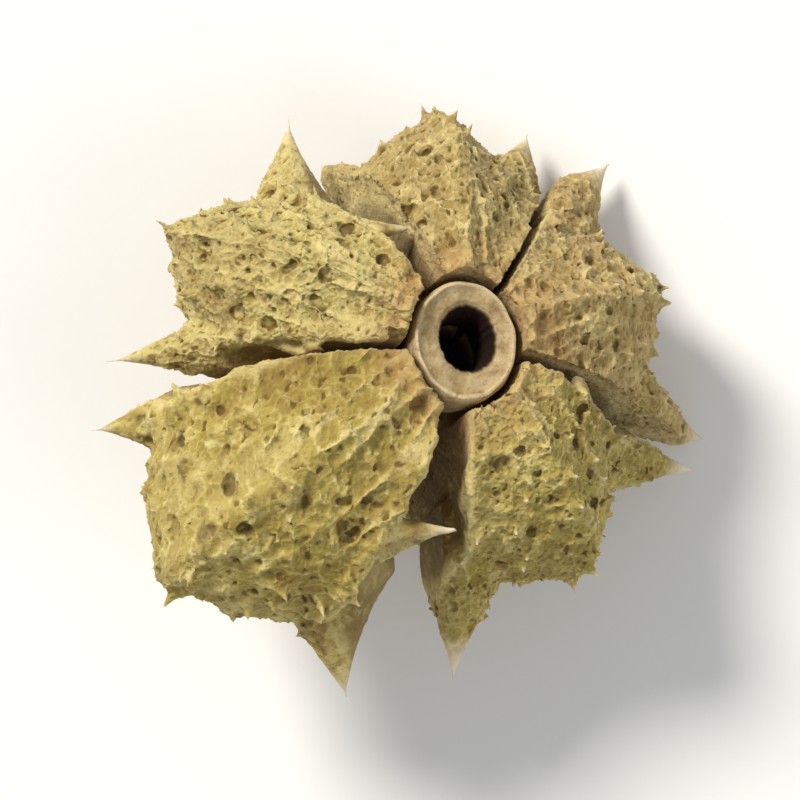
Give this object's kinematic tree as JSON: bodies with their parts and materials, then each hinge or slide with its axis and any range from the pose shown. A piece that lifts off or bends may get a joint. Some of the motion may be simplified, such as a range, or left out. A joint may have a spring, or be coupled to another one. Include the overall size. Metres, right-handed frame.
{
  "type": "puncturevine fruit",
  "caption": "Dried puncturevine bur: woody wedges with netted, prickly backs and long paired spines, set in a star round an oval stalk scar with a hole.",
  "frame": {"origin": "middle of the bounding box, on the surface that the fruit rests on", "axes": "+Z up, out of the stalk side, +X to the right and +Y up as the fruit lies in the picture"},
  "size_m": [0.0118, 0.0114, 0.0073],
  "materials": {
    "bur": "dry and matt, straw yellow-green ridges over olive-brown pits, paler spine tips",
    "receptacle": "dry and matt, pale tan rim with a brown inside"
  },
  "bodies": {
    "root": {"mericarp_1": "bur", "mericarp_2": "bur", "mericarp_3": "bur", "mericarp_4": "bur", "mericarp_5": "bur", "receptacle": "receptacle"}
  },
  "joints": []
}
